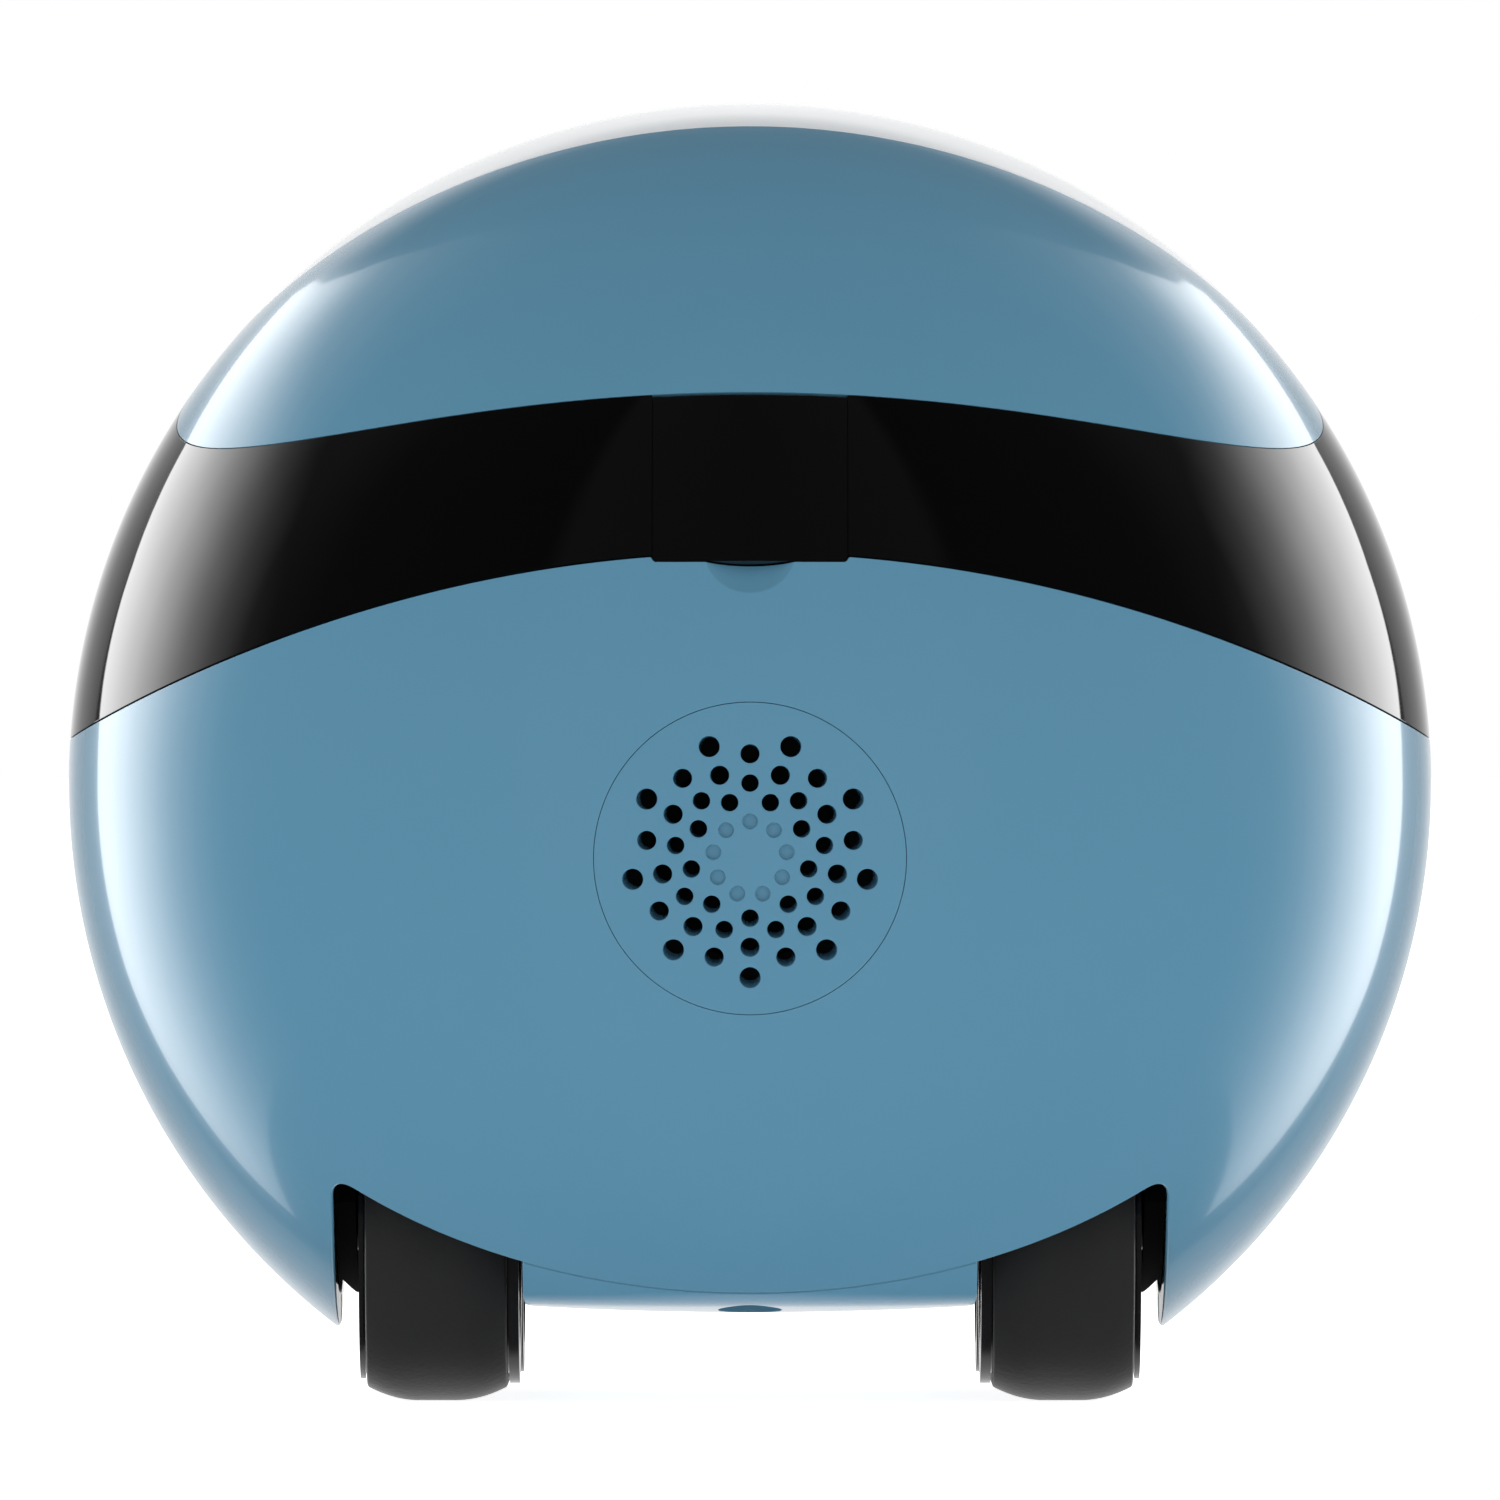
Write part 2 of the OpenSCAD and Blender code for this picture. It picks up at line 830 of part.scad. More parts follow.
// A wheel: two flanges, a drum, a web and a hub on a bore for the axle.
module wheel_body(at) {
    flange_r = track_r - 1.2;
    difference() {
        union() {
            rod(at, flange_r, flange_in, belt_in - flange_gap);
            rod(at, drum_r, belt_in - flange_gap - 0.01, belt_out + flange_gap + 0.01);
            rod(at, flange_r - 0.3, belt_out + flange_gap, flange_out);
        }
        rod(at, drum_r - 1.1, 21.5, 40);
    }
}

module wheel_hub(at) {
    rod(at, 2.8, 21, flange_out);
    for (i = [0:4]) translate([21.3, at[0], at[1]]) rotate([i * 72, 0, 0])
        translate([0, -0.7, 2]) cube([4.6, 1.4, drum_r - 2.6]);
}

module drive_wheel() {
    color(black) difference() {
        union() {
            wheel_body(drive_at);
            wheel_hub(drive_at);
        }
        rod(drive_at, axle_r + axle_fit, 10, 40);
        across(flange_in - 1, 19.4) translate(drive_at)
            gear_outline(ring_teeth, wheel_module, to_stepped, -gear_slack, root, stub);
        across(flange_in - 1, 19.4) translate(drive_at) circle(
            ring_teeth * wheel_module / 2 - stub * wheel_module);
    }
}

module idler_wheel() {
    color(black) difference() {
        union() {
            wheel_body(idler_at);
            wheel_hub(idler_at);
        }
        rod(idler_at, axle_r + axle_fit, 10, 40);
        difference() {
            rod(idler_at, drum_r - 1.4, flange_in - 1, 19.4);
            rod(idler_at, 3, flange_in - 2, 20);
        }
    }
}

module axles() {
    color(steel) for (at = [drive_at, idler_at]) rod(at, axle_r, wall_in, guard_out - 0.3);
}

module left_drive_wheel() { drive_wheel(); }
module right_drive_wheel() { mirrored() drive_wheel(); }
module left_idler_wheel() { idler_wheel(); }
module right_idler_wheel() { mirrored() idler_wheel(); }
module left_axles() { axles(); }
module right_axles() { mirrored() axles(); }

// The outer wall of a wheel well; its lower edge is cut to a slanting wedge.
module track_guard() {
    reach = 21;
    round_r = 35.8;
    top = deck_z - 0.02;
    color(black) difference() {
        intersection() {
            translate([0, reach, 0]) rotate([90, 0, 0]) linear_extrude(2 * reach) polygon([
                [guard_in, 7.8], [guard_in + 0.2, 7.2], [guard_out - 0.3, 8.3],
                [guard_out, 7.9], [guard_out, top], [guard_in, top]
            ]);
            across(20, 40) translate([0, ball_z]) circle(round_r);
        }
        rod(drive_at, axle_r + 0.02, 20, 40);
        rod(idler_at, axle_r + 0.02, 20, 40);
    }
}

module left_track_guard() { track_guard(); }
module right_track_guard() { mirrored() track_guard(); }

// -------------------------------------------------------------------- gears

// Roll angle of an involute at radius r, in degrees.
function roll(base_r, r) = let (u = max(1, r / base_r)) sqrt(u * u - 1) * 180 / PI - acos(1 / u);

// Half the width of a tooth at radius r, in degrees.
function tooth_half(teeth, mod, r, slack) = let (
    pitch_r = teeth * mod / 2,
    base_r = pitch_r * cos(pressure_angle)
) 90 / teeth - slack / pitch_r * 180 / PI + roll(base_r, pitch_r) - roll(base_r, r);

// A gear's outline with one tooth centred on a direction.
module gear_outline(teeth, mod, direction, slack, above, below) {
    pitch_r = teeth * mod / 2;
    base_r = pitch_r * cos(pressure_angle);
    tip_r = pitch_r + above * mod;
    root_r = pitch_r - below * mod;
    low_r = max(base_r, root_r);
    steps = 4;
    flank = [for (i = [0:steps]) let (r = low_r + (tip_r - low_r) * i / steps)
        [r, tooth_half(teeth, mod, r, slack)]];
    foot = [root_r, tooth_half(teeth, mod, low_r, slack)];
    side = root_r < low_r - 0.001 ? concat([foot], flank) : flank;
    count = len(side);
    polygon([for (t = [0:teeth - 1], i = [0:2 * count - 1]) let (
        mid = direction + t * 360 / teeth,
        p = i < count ? side[i] : side[2 * count - 1 - i],
        a = i < count ? mid - p[1] : mid + p[1]
    ) p[0] * [cos(a), sin(a)]]);
}

module stepped_gear() {
    color(ivory) difference() {
        union() {
            across(12.2, 13.7) translate(stepped_at)
                gear_outline(large_teeth, motor_module, to_motor, gear_slack, stub, root);
            across(13.6, 19) translate(stepped_at)
                gear_outline(small_teeth, wheel_module, to_stepped, gear_slack, stub, root);
        }
        rod(stepped_at, 0.84, 10, 20);
    }
}

module gear_pin() {
    color(steel) rod(stepped_at, 0.8, 10.7, 19.2);
}

// The plate that holds the motor's face and the stepped gear's pin.
module gear_plate() {
    plate_in = 10.6;
    plate_out = 11.8;
    posts = [[-5.2, 21.6], [16.4, 21.6], [16.4, 10.2], [-5.2, 10.2]];
    color(charcoal) difference() {
        union() {
            block([plate_in, -6.4, 8.9], [plate_out, 17.6, 22.8]);
            for (at = posts) rod(at, 1.2, plate_out - 0.1, wall_in - 0.02);
        }
        rod(motor_at, 1.6, 5, 15);
        rod(stepped_at, 0.81, 5, 15);
    }
}

module motor() {
    color(steel) difference() {
        union() {
            rod(motor_at, 5, 1.2, 10.5);
            rod(motor_at, 1.5, 10.4, 11.3);
        }
        rod(motor_at, 0.54, 6, 12);
    }
}

module motor_shaft() {
    color(steel) rod(motor_at, 0.5, 6.2, 14);
}

module motor_pinion() {
    color(brass) difference() {
        across(12, 13.9) translate(motor_at) gear_outline(
            pinion_teeth, motor_module, to_motor + 180 + 180 / pinion_teeth,
            gear_slack, stub, root);
        rod(motor_at, 0.5, 11, 15);
    }
}

module left_stepped_gear() { stepped_gear(); }
module right_stepped_gear() { mirrored() stepped_gear(); }
module left_gear_pin() { gear_pin(); }
module right_gear_pin() { mirrored() gear_pin(); }
module left_gear_plate() { gear_plate(); }
module right_gear_plate() { mirrored() gear_plate(); }
module left_motor() { motor(); }
module right_motor() { mirrored() motor(); }
module left_motor_shaft() { motor_shaft(); }
module right_motor_shaft() { mirrored() motor_shaft(); }
module left_motor_pinion() { motor_pinion(); }
module right_motor_pinion() { mirrored() motor_pinion(); }

// ------------------------------------------------------------ what is drawn

front_shell();
forehead_cover();
face_visor();
rear_band();
top_cover();
rear_shell();
base_plate();
speaker_grille();
port_door();
port_board();
usb_port();
card_slot();
speaker_gasket();
speaker_frame();
speaker_cone();
speaker_magnet();
camera_lens();
lens_ring();
camera_barrel();
camera_board();
infrared_leds();
status_light();
microphone();
head_frame();
power_button();
power_switch();
switch_board();
battery_pack();
battery_strap();
main_board();
board_chips();
board_sockets();
chassis();
base_screws();
shell_screws();
board_screws();
left_belt();
right_belt();
left_drive_wheel();
right_drive_wheel();
left_idler_wheel();
right_idler_wheel();
left_axles();
right_axles();
left_track_guard();
right_track_guard();
left_stepped_gear();
right_stepped_gear();
left_gear_pin();
right_gear_pin();
left_gear_plate();
right_gear_plate();
left_motor();
right_motor();
left_motor_shaft();
right_motor_shaft();
left_motor_pinion();
right_motor_pinion();
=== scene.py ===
"""Looks of the small ball robot: shells with soft edges, belts, materials, camera and light."""
import math

import bpy
import numpy as np
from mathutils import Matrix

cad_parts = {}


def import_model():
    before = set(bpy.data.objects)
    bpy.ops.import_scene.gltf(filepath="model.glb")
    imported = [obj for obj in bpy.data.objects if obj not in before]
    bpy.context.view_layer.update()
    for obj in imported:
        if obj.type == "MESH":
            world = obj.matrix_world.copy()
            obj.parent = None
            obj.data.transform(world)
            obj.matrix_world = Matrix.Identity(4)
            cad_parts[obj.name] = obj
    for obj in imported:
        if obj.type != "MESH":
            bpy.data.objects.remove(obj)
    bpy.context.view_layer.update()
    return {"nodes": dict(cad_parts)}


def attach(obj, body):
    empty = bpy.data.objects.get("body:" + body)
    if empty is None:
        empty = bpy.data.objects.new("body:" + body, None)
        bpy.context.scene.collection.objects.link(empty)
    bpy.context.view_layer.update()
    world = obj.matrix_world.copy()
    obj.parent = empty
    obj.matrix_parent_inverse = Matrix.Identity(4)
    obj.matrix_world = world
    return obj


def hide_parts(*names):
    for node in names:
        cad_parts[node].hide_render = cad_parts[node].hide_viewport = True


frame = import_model()

MM = 0.001                          # shapes are worked out in millimetres
R = 48.0                            # radius of the ball
CENTRE = np.array([0.0, 0.0, 43.0])
SKIN = 1.8                          # wall of the shells
SPLIT = -2.64                       # y of the joint between the front and rear shells
GAP, TIGHT_GAP = 0.05, 0.025        # half of a seam's width
EDGE, TIGHT_EDGE = 0.05, 0.03       # rounding beside a seam
BACK = 20.0                         # cuts along Y act only beyond this distance from the middle
UNDERNEATH = 20.0                   # bores in the underside act only below this height
SLOT_TOP = 30.0                     # and the wheel openings below this one


# ------------------------------------------------------------- the edges of the shells
def run_on(meet, at, r, r_next):
    """Centre of a circle of radius r_next that carries on smoothly from another one where they meet."""
    return meet + r_next / r * (meet - at)


# Seen from the side, every edge is a circle. LOW and CHIN bound the band below, behind and before the
# joint; CAP and BROW bound it above; CROWN parts the blue cap from the white forehead.
LOW_R, CHIN_R, CAP_R, BROW_R, CROWN_R = 87.0, 141.0, 51.4, 50.0, 43.0
LOW_AT = np.array([0.0, 46.16 + LOW_R])
LOW_MEET = np.array([SPLIT, LOW_AT[1] - math.sqrt(LOW_R ** 2 - SPLIT ** 2)])
CHIN_AT = run_on(LOW_MEET, LOW_AT, LOW_R, CHIN_R)
CAP_AT = np.array([20.95, 117.75])
CAP_MEET = np.array([SPLIT, CAP_AT[1] - math.sqrt(CAP_R ** 2 - (SPLIT - CAP_AT[0]) ** 2)])
BROW_AT = run_on(CAP_MEET, CAP_AT, CAP_R, BROW_R)
CROWN_AT = np.array([-24.0, CAP_MEET[1] + math.sqrt(CROWN_R ** 2 - (SPLIT + 24.0) ** 2)])


def outside(at, r):
    return lambda p: np.hypot(p[:, 1] - at[0], p[:, 2] - at[1]) - r


def inside(at, r):
    return lambda p: r - np.hypot(p[:, 1] - at[0], p[:, 2] - at[1])


def behind(p):
    return p[:, 1] - SPLIT - GAP


def before(p):
    return SPLIT - GAP - p[:, 1]


def slot_distance(p):
    """Distance in the plan view from the wheel opening's outline, negative within it."""
    arc_r, reach, side, corner_r = 77.1, 32.8, 29.0, 2.6
    x, y = np.abs(p[:, 0]), np.abs(p[:, 1])
    arc_y = reach - arc_r
    cx = side - corner_r
    lift = math.sqrt((arc_r - corner_r) ** 2 - cx ** 2)
    qx, qy = x - cx, y - arc_y - lift
    far = np.hypot(qx, qy) - corner_r
    plain = np.maximum(x - side, np.hypot(x, y - arc_y) - arc_r)
    in_corner = (qy > 0) & (qx * lift - qy * cx > 0)
    return np.where(in_corner, far, plain)


def slot(p):
    """Positive outside the opening for the wheels."""
    return np.maximum(slot_distance(p), p[:, 2] - SLOT_TOP)


def plate_outline(p):
    """Positive on the base plate, between the two tracks."""
    half, play = 15.7, 0.02
    return np.min([-slot_distance(p) - play, half - np.abs(p[:, 0]), SLOT_TOP - p[:, 2]], axis=0)


def rear_bore(x, z, r):
    """Positive outside a round bore along Y in the rear half."""
    return lambda p: np.maximum(np.hypot(p[:, 0] - x, p[:, 2] - z) - r, BACK - p[:, 1])


def bottom_bore(x, y, r):
    """Positive outside an upright round bore in the underside."""
    return lambda p: np.maximum(np.hypot(p[:, 0] - x, p[:, 1] - y) - r, p[:, 2] - UNDERNEATH)


def notch(p):
    """Positive outside the step in the rear shell's edge that takes the door's lip."""
    foot, half, flare, rise = 58.25, 6.5, 0.36, 0.4
    wide = half + flare * np.clip((p[:, 2] - foot) / rise, 0, 1)
    return np.max([foot - p[:, 2], np.abs(p[:, 0]) - wide, BACK - p[:, 1]], axis=0)


DOOR_HALF = 6.7


def door_gap(p):
    return np.maximum(np.abs(p[:, 0]) - DOOR_HALF, BACK - p[:, 1])


def door_outline(p):
    play, lip = 0.03, 58.3
    return np.min([DOOR_HALF - play - np.abs(p[:, 0]), p[:, 2] - lip, p[:, 1] - BACK], axis=0)


# The camera looks out along SIGHT, a little upwards.
LEAN = math.asin(15.0 / R)
SIGHT = np.array([0, -math.cos(LEAN), math.sin(LEAN)])
SIGHT_UP = np.array([0, math.sin(LEAN), math.cos(LEAN)])


def face_bore(x, up, r):
    """Positive outside a round bore along the camera's line of sight."""
    def f(p):
        q = p - CENTRE
        return np.maximum(np.hypot(q[:, 0] - x, q @ SIGHT_UP - up) - r, 10 - q @ SIGHT)
    return f


def status_slot(p):
    half, z, r = 2.2, 47.0, 0.78
    side = np.maximum(np.abs(p[:, 0]) - half, 0)
    return np.maximum(np.hypot(side, p[:, 2] - z) - r, BACK + p[:, 1])


TILT = math.radians(27)             # lean of the ports behind the door
PORT_UP = np.array([0, -math.sin(TILT), math.cos(TILT)])


def port_hole(half, low, high):
    def f(p):
        up = (p - CENTRE) @ PORT_UP
        return np.max([np.abs(p[:, 0]) - half, low - up, up - high, BACK - p[:, 1]], axis=0)
    return f


def bridge_outline(p):
    half, low, high = 8.9, 59.3, 69.2
    return np.min([half - np.abs(p[:, 0]), p[:, 2] - low, high - p[:, 2], p[:, 1] - BACK], axis=0)


def union_of(parts):
    """Positive where all parts are, so several bores are cut at once."""
    return lambda p: np.min([f(p) for f in parts], axis=0)


# ---------------------------------------------------------------------- bare surfaces
def unit(v):
    return v / np.linalg.norm(v, axis=-1, keepdims=True)


def tangents(d):
    """Two ways along the ball, at right angles."""
    aside = np.where(np.abs(d[:, 2:3]) < 0.9, [[0.0, 0.0, 1.0]], [[1.0, 0.0, 0.0]])
    t = unit(np.cross(aside, d))
    return t, np.cross(d, t)


def soft_min(a, b, k):
    """The smaller of two distances, with a soft change over where they differ by less than k."""
    h = np.maximum(k - np.abs(a - b), 0) / k
    return np.minimum(a, b) - h * h * k / 4


def underside(d):
    """How far along each direction the nearly flat underside lies."""
    drop, across, flat_half, along, reach = 36.6, 520.0, 22.0, 120.0, 60.0
    down = np.maximum(-d[:, 2], 0.3)
    far = drop / down
    for _ in range(4):
        x = np.minimum(far, reach) * d[:, 0]
        y = np.minimum(far, reach) * d[:, 1]
        far = (drop - x * x / across - np.maximum(np.abs(y) - flat_half, 0) ** 2 / along) / down
    return far


UNDER_BLEND = 0.9                   # softness of the turn from the ball to the underside


def ball(d):
    return np.full(len(d), R)


def lower_ball(d):
    """The ball, flattened underneath at its front and rear ends."""
    start, fade = 30.0, 3.0
    y = np.abs(R * d[:, 1])
    return soft_min(ball(d), underside(d) + fade * np.maximum(start - y, 0), UNDER_BLEND)


def plate(d):
    return soft_min(ball(d), underside(d), UNDER_BLEND)


SCOOP_LEAN = math.asin(16.15 / R)
SCOOP = np.array([0, math.cos(SCOOP_LEAN), math.sin(SCOOP_LEAN)])
SCOOP_OUT, SCOOP_R, SCOOP_RIM_R = 4.99, 6.0, 3.17


def scooped(d):
    """The lower ball with the thumb scoop: a bite by a small ball whose middle lies SCOOP_OUT outside."""
    far, missed = R + SCOOP_OUT, 90.0
    along = far * np.clip(d @ SCOOP, 0, 1)
    inner = SCOOP_R ** 2 - (far ** 2 - along ** 2)
    depth = np.where(inner > 0, along - np.sqrt(np.maximum(inner, 0)), missed)
    return soft_min(lower_ball(d), depth, 0.05)


def scoop_rim(p):
    d = unit(p - CENTRE)
    return R * np.arccos(np.clip(d @ SCOOP, -1, 1)) - SCOOP_RIM_R


GRILLE_Z = 38.0
RING_COUNT = 9
# distance from the grille's middle, hole diameter, angle of the first hole
RINGS = [(4.06, 1.18, 70), (5.15, 1.18, 90), (6.05, 1.29, 70), (7.15, 1.29, 90), (8.13, 1.42, 70)]


def ring_places(r, start):
    turn = [math.radians(start + 360 / RING_COUNT * i) for i in range(RING_COUNT)]
    return [(r * math.cos(a), GRILLE_Z + r * math.sin(a)) for a in turn]


HOLES = union_of([rear_bore(x, z, size / 2) for r, size, start in RINGS for x, z in ring_places(r, start)])
DIMPLES = union_of([rear_bore(x, z, 0.5) for x, z in ring_places(2.54, 90)])
DIMPLE_DEPTH, DIMPLE_WALL = 0.3, 0.05


def dimpled(d):
    t = np.clip((DIMPLE_WALL - DIMPLES(CENTRE + R * d)) / (2 * DIMPLE_WALL), 0, 1)
    return R - DIMPLE_DEPTH * t * t * (3 - 2 * t)


# ------------------------------------------------------------------ triangles on a ball
# d holds unit directions from the ball's middle, and t triangles: three rows of d each. Shells are cut
# and refined as directions, and only then get their surface.
def sphere_grid(n):
    """A ball of triangles: six square faces blown up to a sphere."""
    line = np.tan(np.linspace(-1, 1, n + 1) * math.pi / 4)
    u, v = np.meshgrid(line, line, indexing="ij")
    one = np.ones_like(u)
    verts, tris = [], []
    corner = np.arange((n + 1) ** 2).reshape(n + 1, n + 1)
    a, b, c, d = corner[:-1, :-1], corner[1:, :-1], corner[1:, 1:], corner[:-1, 1:]
    flip = (np.add.outer(np.arange(n), np.arange(n)) % 2 == 0)[..., None]
    one_way = np.stack([a, b, c, a, c, d], -1)
    other = np.stack([a, b, d, b, c, d], -1)
    quads = np.where(flip, one_way, other).reshape(-1, 3)
    for side in ((u, v, one), (v, u, -one), (one, u, v), (-one, v, u), (v, one, u), (u, -one, v)):
        tris.append(quads + len(verts) * (n + 1) ** 2)
        verts.append(np.stack(side, -1).reshape(-1, 3))
    d = unit(np.concatenate(verts))
    t = np.concatenate(tris)
    _, first, back = np.unique(np.round(d, 7), axis=0, return_index=True, return_inverse=True)
    d, t = d[first], back.reshape(-1)[t]
    t = t[(t[:, 0] != t[:, 1]) & (t[:, 1] != t[:, 2]) & (t[:, 2] != t[:, 0])]
    out = np.einsum("ij,ij->i", np.cross(d[t[:, 1]] - d[t[:, 0]], d[t[:, 2]] - d[t[:, 0]]), d[t[:, 0]]) > 0
    t[~out] = t[~out][:, ::-1]
    return d, t


def edges_of(t):
    """The edges of the triangles, and for each triangle the rows of its three edges."""
    pairs = np.sort(t[:, [0, 1, 1, 2, 2, 0]].reshape(-1, 2), axis=1)
    found, back = np.unique(pairs, axis=0, return_inverse=True)
    return found, back.reshape(-1, 3)


def compact(d, t):
    """Drops the directions that no triangle uses."""
    used, back = np.unique(t, return_inverse=True)
    return d[used], back.reshape(-1, 3)


def columns(*parts):
    return np.stack(parts, 1)


def turned_round(t, mid, ready):
    """The triangles, each turned until its marked edges lie where they are wanted."""
    for _ in range(3):
        turn = ~ready(mid)
        t[turn], mid[turn] = np.roll(t[turn], -1, 1), np.roll(mid[turn], -1, 1)
    return t.T, mid.T


def cut_marked(t, mid):
    """Cuts triangles with one or two marked edges; mid has each edge's new vertex, or -1."""
    count = (mid >= 0).sum(1)
    (a, b, c), (p, _, _) = turned_round(t[count == 1], mid[count == 1], lambda m: m[:, 0] >= 0)
    parts = [t[count == 0], columns(a, p, c), columns(p, b, c)]
    (a, b, c), (p, _, q) = turned_round(t[count == 2], mid[count == 2], lambda m: m[:, 1] < 0)
    return parts + [columns(a, p, q), columns(p, b, c), columns(p, c, q)]


def refine(d, t, size, rounds=7):
    """Halves every edge that is longer than the wanted size at its middle."""
    for _ in range(rounds):
        e, of = edges_of(t)
        mid = unit(d[e[:, 0]] + d[e[:, 1]])
        long = R * np.linalg.norm(d[e[:, 0]] - d[e[:, 1]], axis=1) > size(CENTRE + R * mid)
        if not long.any():
            break
        new = np.full(len(e), -1)
        new[long] = len(d) + np.arange(long.sum())
        d = np.concatenate([d, mid[long]])
        mid = new[of]
        whole = (mid >= 0).all(1)
        (a, b, c), (p, q, r) = t[whole].T, mid[whole].T
        inner = [columns(a, p, r), columns(p, b, q), columns(r, q, c), mid[whole]]
        t = np.concatenate(cut_marked(t, mid) + inner)
    return d, t


def slope(f, d):
    """Distance along the ball from the line where f is nought, and the way uphill."""
    t, b = tangents(d)
    e = 0.01
    p = CENTRE + R * d
    ft = (f(p + e * t) - f(p - e * t)) / (2 * e)
    fb = (f(p + e * b) - f(p - e * b)) / (2 * e)
    steep = np.maximum(np.hypot(ft, fb), 0.2)
    return f(p) / steep, (ft[:, None] * t + fb[:, None] * b) / steep[:, None]


def slice_mesh(d, t, f, level, keep):
    """Puts vertices where f's distance equals level; with keep, drops what lies below."""
    def g(q):
        return slope(f, q)[0] - level

    s = g(d)
    s[np.abs(s) < 0.002] = 0
    e, of = edges_of(t)
    crossed = s[e[:, 0]] * s[e[:, 1]] < 0
    a, b, sa = d[e[crossed, 0]], d[e[crossed, 1]], s[e[crossed, 0]]
    low, high = np.zeros(len(a)), np.ones(len(a))
    for _ in range(18):
        m = (low + high) / 2
        same = g(unit(a + (b - a) * m[:, None])) * sa > 0
        low, high = np.where(same, m, low), np.where(same, high, m)
    new = np.full(len(e), -1)
    new[crossed] = len(d) + np.arange(crossed.sum())
    d = np.concatenate([d, unit(a + (b - a) * ((low + high) / 2)[:, None])])
    s = np.concatenate([s, np.zeros(crossed.sum())])
    t = np.concatenate(cut_marked(t, new[of]))
    if keep:
        d, t = compact(d, t[s[t].sum(1) > 0])
    return d, t


def straight_in(d, outer, within):
    """Near the wheel opening the walls run straight up instead of towards the middle."""
    reach = 6.0
    near = np.clip(1 - slope(slot, d)[0] / reach, 0, 1) * (d[:, 2] < -0.1)
    flat = np.maximum((R - SKIN) ** 2 - outer[:, 0] ** 2 - outer[:, 1] ** 2, 1)
    above = np.stack([outer[:, 0], outer[:, 1], CENTRE[2] - np.sqrt(flat)], 1)
    way = unit(unit(within - CENTRE) * (1 - near[:, None]) + unit(above - CENTRE) * near[:, None])
    return CENTRE + np.linalg.norm(within - CENTRE, axis=1, keepdims=True) * way


def plate_inner(d, outer, within):
    """The base plate's upper face: flat, or the ball's inside where that is higher."""
    flat_z = 8.4
    ball_in = CENTRE[2] - np.sqrt((R - SKIN) ** 2 - outer[:, 0] ** 2 - outer[:, 1] ** 2)
    return np.stack([outer[:, 0], outer[:, 1], np.maximum(flat_z, ball_in)], 1)


made = []


def add_mesh(name, body, slot_name, co, faces, normals, stands_for=()):
    """A smooth piece on a body, in place of the named nodes of the frame."""
    mesh = bpy.data.meshes.new(name)
    mesh.from_pydata((co * MM).tolist(), [], faces)
    mesh.polygons.foreach_set("use_smooth", [True] * len(mesh.polygons))
    mesh.normals_split_custom_set(normals.tolist())
    obj = bpy.data.objects.new(name, mesh)
    bpy.context.scene.collection.objects.link(obj)
    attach(obj, body)
    if stands_for:
        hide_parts(*stands_for)
    mesh.materials.append(None)
    made.append((obj, slot_name))


GRID = sphere_grid(48)
SINK = 0.016                        # keeps facets and roundings within the ball
LONGEST, GROWTH = 1.9, 0.3          # facet edge far from detail, and how fast it grows with distance
MARGIN = 4.0                        # of the grid, this much past an edge is kept for cutting
ROUNDING_STEPS = (0.134, 0.5, 1.0)  # vertices across a rounded edge, as shares of its radius


def cut_out(cuts, fine, lines):
    """The part of the ball that every cut leaves, with small facets where they are wanted."""
    d, t = GRID
    near = np.min([f(CENTRE + R * d) for f, _ in cuts], axis=0)
    d, t = compact(d, t[near[t].max(1) > -MARGIN])

    def size(p):
        return np.min([np.full(len(p), LONGEST)] + [s + GROWTH * np.abs(f(p)) for f, s in fine], axis=0)

    if fine:
        d, t = refine(d, t, size)
    for f, r in cuts:
        d, t = slice_mesh(d, t, f, 0, True)
        for share in ROUNDING_STEPS:
            d, t = slice_mesh(d, t, f, share * r, False)
    for f, levels in lines:
        for level in levels:
            d, t = slice_mesh(d, t, f, level, False)
    return d, t


def facing(d, surface):
    """How far the surface lies along each direction, and its normal there."""
    rho = surface(d)
    a, b = tangents(d)
    e = 0.015 / R
    rise_a = (surface(unit(d + e * a)) - surface(unit(d - e * a))) / (2 * e * rho)
    rise_b = (surface(unit(d + e * b)) - surface(unit(d - e * b))) / (2 * e * rho)
    return rho, unit(d - rise_a[:, None] * a - rise_b[:, None] * b)


def round_off(d, normals, cuts):
    """How far rounded edges drop the surface, and the normals turned to match."""
    drop, turned, upright = np.zeros(len(d)), np.zeros_like(d), np.ones(len(d))
    for f, r in cuts:
        distance, uphill = slope(f, d)
        part = 1 - np.clip(distance / r, 0, 1)
        level = np.sqrt(np.maximum(1 - part * part, 0))
        drop += r * (1 - level)
        upright *= level
        turned -= uphill * part[:, None]
    return drop, unit(normals * (upright[:, None] + 1e-4) + turned)


def rim_walls(t, outer, within):
    """The wall faces along every open edge, and their normals, shared where neighbours nearly agree."""
    ends = t[:, [0, 1, 1, 2, 2, 0]].reshape(-1, 2)
    _, back, times = np.unique(np.sort(ends, axis=1), axis=0, return_inverse=True, return_counts=True)
    a, b = ends[times[back.reshape(-1)] == 1].T
    wall = unit(np.cross(outer[b] - outer[a], outer[a] - within[a] + outer[b] - within[b]))
    leaving, arriving = np.zeros_like(outer), np.zeros_like(outer)
    leaving[a], arriving[b] = wall, wall
    at_a = np.where((wall * arriving[a]).sum(1, keepdims=True) > 0.75, wall + arriving[a], wall)
    at_b = np.where((wall * leaving[b]).sum(1, keepdims=True) > 0.75, wall + leaving[b], wall)
    normals = columns(unit(at_a), unit(at_a), unit(at_b), unit(at_b)).reshape(-1, 3)
    return columns(a, a + len(outer), b + len(outer), b), normals


